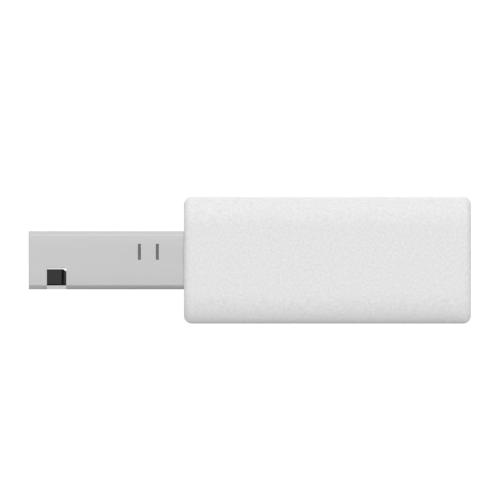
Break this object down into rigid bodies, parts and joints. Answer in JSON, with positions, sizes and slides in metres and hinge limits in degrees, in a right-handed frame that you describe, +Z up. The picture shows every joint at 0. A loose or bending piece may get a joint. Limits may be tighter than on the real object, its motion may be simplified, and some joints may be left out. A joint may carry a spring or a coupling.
{
  "type": "usb wifi adapter",
  "caption": "Compact wireless network adapter: a seamless rounded sleeve with a USB-A plug, holding a circuit board with a screened radio chip and a printed antenna.",
  "frame": {"origin": "centre of the bottom of the bounding box, on the surface that the adapter lies on", "axes": "+X from the plug's tip to the rear of the sleeve, +Y across the adapter, +Z up through its thickness"},
  "size_m": [0.0342, 0.0174, 0.0098],
  "materials": {
    "housing_plastic": "light grey moulded plastic with a fine matt grain",
    "plug_steel": "satin nickel-plated sheet",
    "insulator_plastic": "black moulded plastic, satin",
    "contact_gold": "gold-plated, smooth",
    "board_laminate": "green solder mask over glass laminate",
    "pad_copper": "gold-flashed copper, satin",
    "solder": "bright tin solder",
    "chip_epoxy": "black moulding compound, fine matt",
    "tinned_metal": "matt tin plating",
    "screening_tinplate": "rolled tinplate, satin",
    "thermal_silicone": "grey-blue filled silicone, matt",
    "package_ceramic": "dark fired ceramic, matt",
    "crystal_lid_metal": "nickel-plated lid, satin",
    "ferrite": "dark grey ferrite, matt",
    "capacitor_ceramic": "tan fired ceramic, matt",
    "resistor_ceramic": "dark glazed top on alumina"
  },
  "bodies": {
    "root": {"housing_sleeve": "housing_plastic", "front_plate": "housing_plastic", "usb_shell": "plug_steel", "usb_insulator": "insulator_plastic", "usb_contact_power": "contact_gold", "usb_contact_data_minus": "contact_gold", "usb_contact_data_plus": "contact_gold", "usb_contact_ground": "contact_gold", "main_board": "board_laminate", "contact_pads": "pad_copper", "test_pads": "pad_copper", "printed_antenna": "pad_copper", "solder_joints": "solder", "wifi_chip": "chip_epoxy", "regulator_body": "chip_epoxy", "surge_guard_body": "chip_epoxy", "wifi_chip_pads": "tinned_metal", "regulator_leads": "tinned_metal", "surge_guard_leads": "tinned_metal", "inductor_terminals": "tinned_metal", "capacitor_end_caps": "tinned_metal", "resistor_end_caps": "tinned_metal", "shield_fence": "screening_tinplate", "shield_lid": "screening_tinplate", "thermal_pad": "thermal_silicone", "crystal_base": "package_ceramic", "crystal_lid": "crystal_lid_metal", "inductor_core": "ferrite", "capacitor_bodies": "capacitor_ceramic", "resistor_bodies": "resistor_ceramic"}
  },
  "joints": []
}
